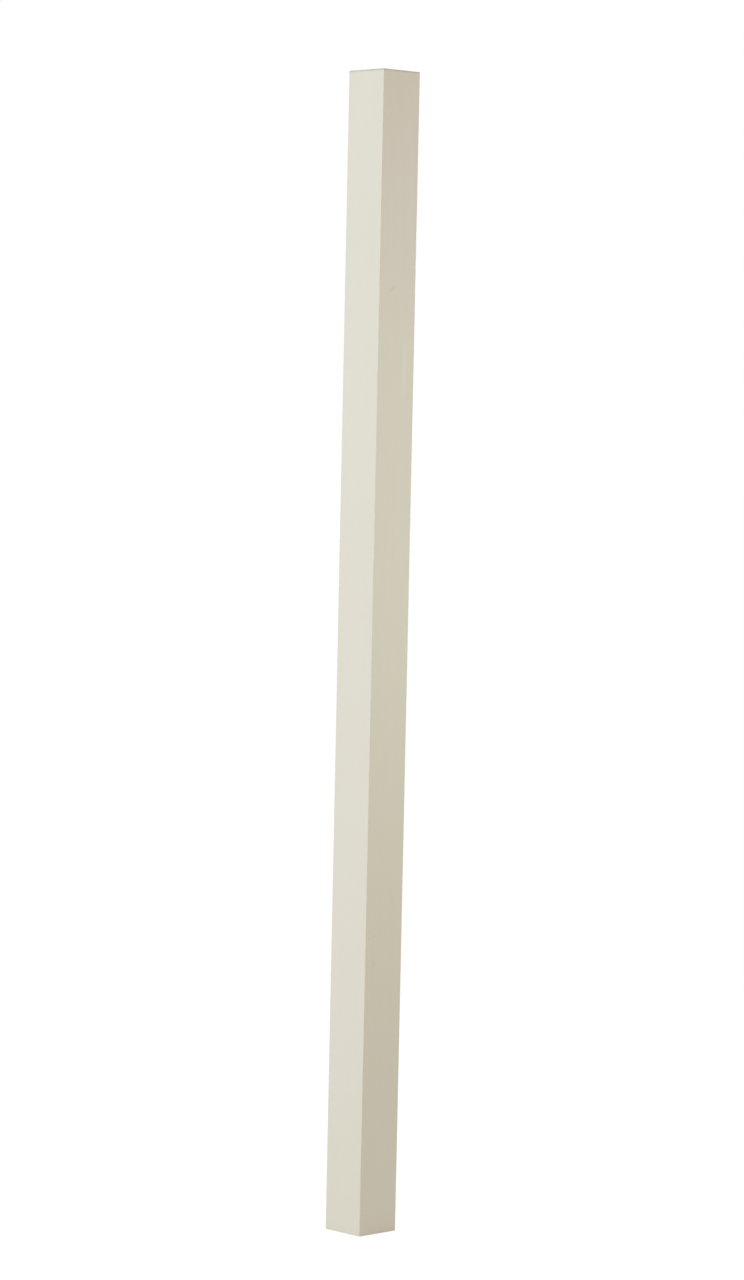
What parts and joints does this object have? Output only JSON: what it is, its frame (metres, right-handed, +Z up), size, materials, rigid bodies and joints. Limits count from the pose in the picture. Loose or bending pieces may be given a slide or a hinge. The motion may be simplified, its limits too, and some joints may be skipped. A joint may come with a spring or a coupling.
{
  "type": "square baluster",
  "caption": "Plain square timber baluster, painted off-white, sawn square at both ends, that fills the space between a stair or porch shoe rail and its handrail.",
  "frame": {"origin": "middle of the sawn foot, which it stands on", "axes": "+Z up the length, from foot to head; X and Y square to the four planed faces"},
  "size_m": [0.035, 0.035, 0.8128],
  "materials": {
    "off_white_paint": "satin"
  },
  "bodies": {
    "root": {"baluster": "off_white_paint"}
  },
  "joints": []
}
